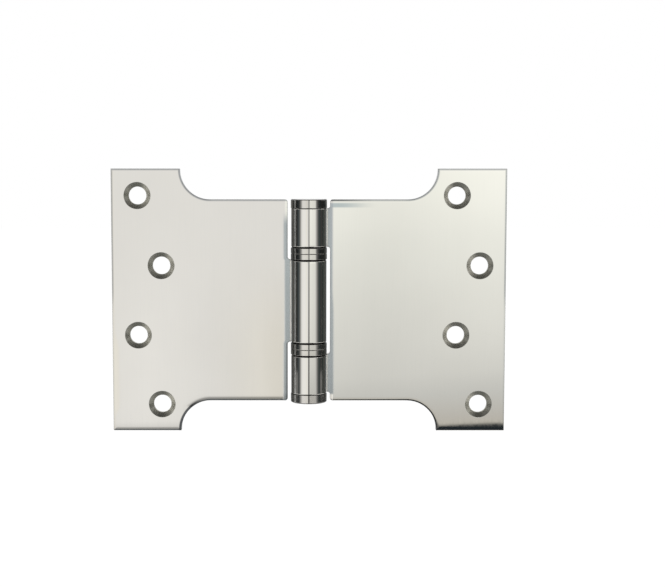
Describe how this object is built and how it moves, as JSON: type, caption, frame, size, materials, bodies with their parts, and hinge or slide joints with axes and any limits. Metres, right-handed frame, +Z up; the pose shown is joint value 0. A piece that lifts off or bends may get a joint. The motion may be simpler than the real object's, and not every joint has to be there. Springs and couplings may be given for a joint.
{
  "type": "parliament hinge",
  "caption": "Polished stainless steel parliament hinge: two wide flanged leaves with countersunk holes, rolled knuckles on a fixed pin, ball bearings between them and flat caps.",
  "frame": {"origin": "on the pin's axis at half the leaves' height, which is the centre of the box of the hinge laid open flat", "axes": "+X from the pin to the frame leaf's far edge, +Y from the leaves' front, where the screws go in, to their back, +Z up along the pin"},
  "size_m": [0.152, 0.0138, 0.1016],
  "materials": {
    "leaf_steel": "polished stainless steel",
    "pin_steel": "polished stainless steel",
    "race_steel": "polished bearing steel",
    "ball_steel": "ground bearing steel"
  },
  "bodies": {
    "frame_side": {"frame_leaf": "leaf_steel", "hinge_pin": "pin_steel", "top_cap": "pin_steel", "bottom_cap": "pin_steel", "top_bearing_upper_race": "race_steel", "bottom_bearing_lower_race": "race_steel"},
    "door_side": {"door_leaf": "leaf_steel", "top_bearing_lower_race": "race_steel", "bottom_bearing_upper_race": "race_steel"},
    "top_balls": {"top_bearing_ball_01": "ball_steel", "top_bearing_ball_02": "ball_steel", "top_bearing_ball_03": "ball_steel", "top_bearing_ball_04": "ball_steel", "top_bearing_ball_05": "ball_steel", "top_bearing_ball_06": "ball_steel", "top_bearing_ball_07": "ball_steel", "top_bearing_ball_08": "ball_steel", "top_bearing_ball_09": "ball_steel", "top_bearing_ball_10": "ball_steel", "top_bearing_ball_11": "ball_steel", "top_bearing_ball_12": "ball_steel"},
    "bottom_balls": {"bottom_bearing_ball_01": "ball_steel", "bottom_bearing_ball_02": "ball_steel", "bottom_bearing_ball_03": "ball_steel", "bottom_bearing_ball_04": "ball_steel", "bottom_bearing_ball_05": "ball_steel", "bottom_bearing_ball_06": "ball_steel", "bottom_bearing_ball_07": "ball_steel", "bottom_bearing_ball_08": "ball_steel", "bottom_bearing_ball_09": "ball_steel", "bottom_bearing_ball_10": "ball_steel", "bottom_bearing_ball_11": "ball_steel", "bottom_bearing_ball_12": "ball_steel"}
  },
  "joints": [
    {"name": "leaf_fold", "type": "hinge", "parent": "frame_side", "child": "door_side", "pos_m": [0, 0, 0], "axis": [0, 0, 1], "range_deg": [-125, 180]},
    {"name": "top_balls_roll", "type": "hinge", "parent": "frame_side", "child": "top_balls", "pos_m": [0, 0, 0.0184], "axis": [0, 0, 1], "range_deg": [-62.5, 90]},
    {"name": "bottom_balls_roll", "type": "hinge", "parent": "frame_side", "child": "bottom_balls", "pos_m": [0, 0, -0.0184], "axis": [0, 0, 1], "range_deg": [-62.5, 90]}
  ],
  "couplings": [
    {"joint": "top_balls_roll", "follows": "leaf_fold", "ratio": 0.5},
    {"joint": "bottom_balls_roll", "follows": "leaf_fold", "ratio": 0.5}
  ]
}
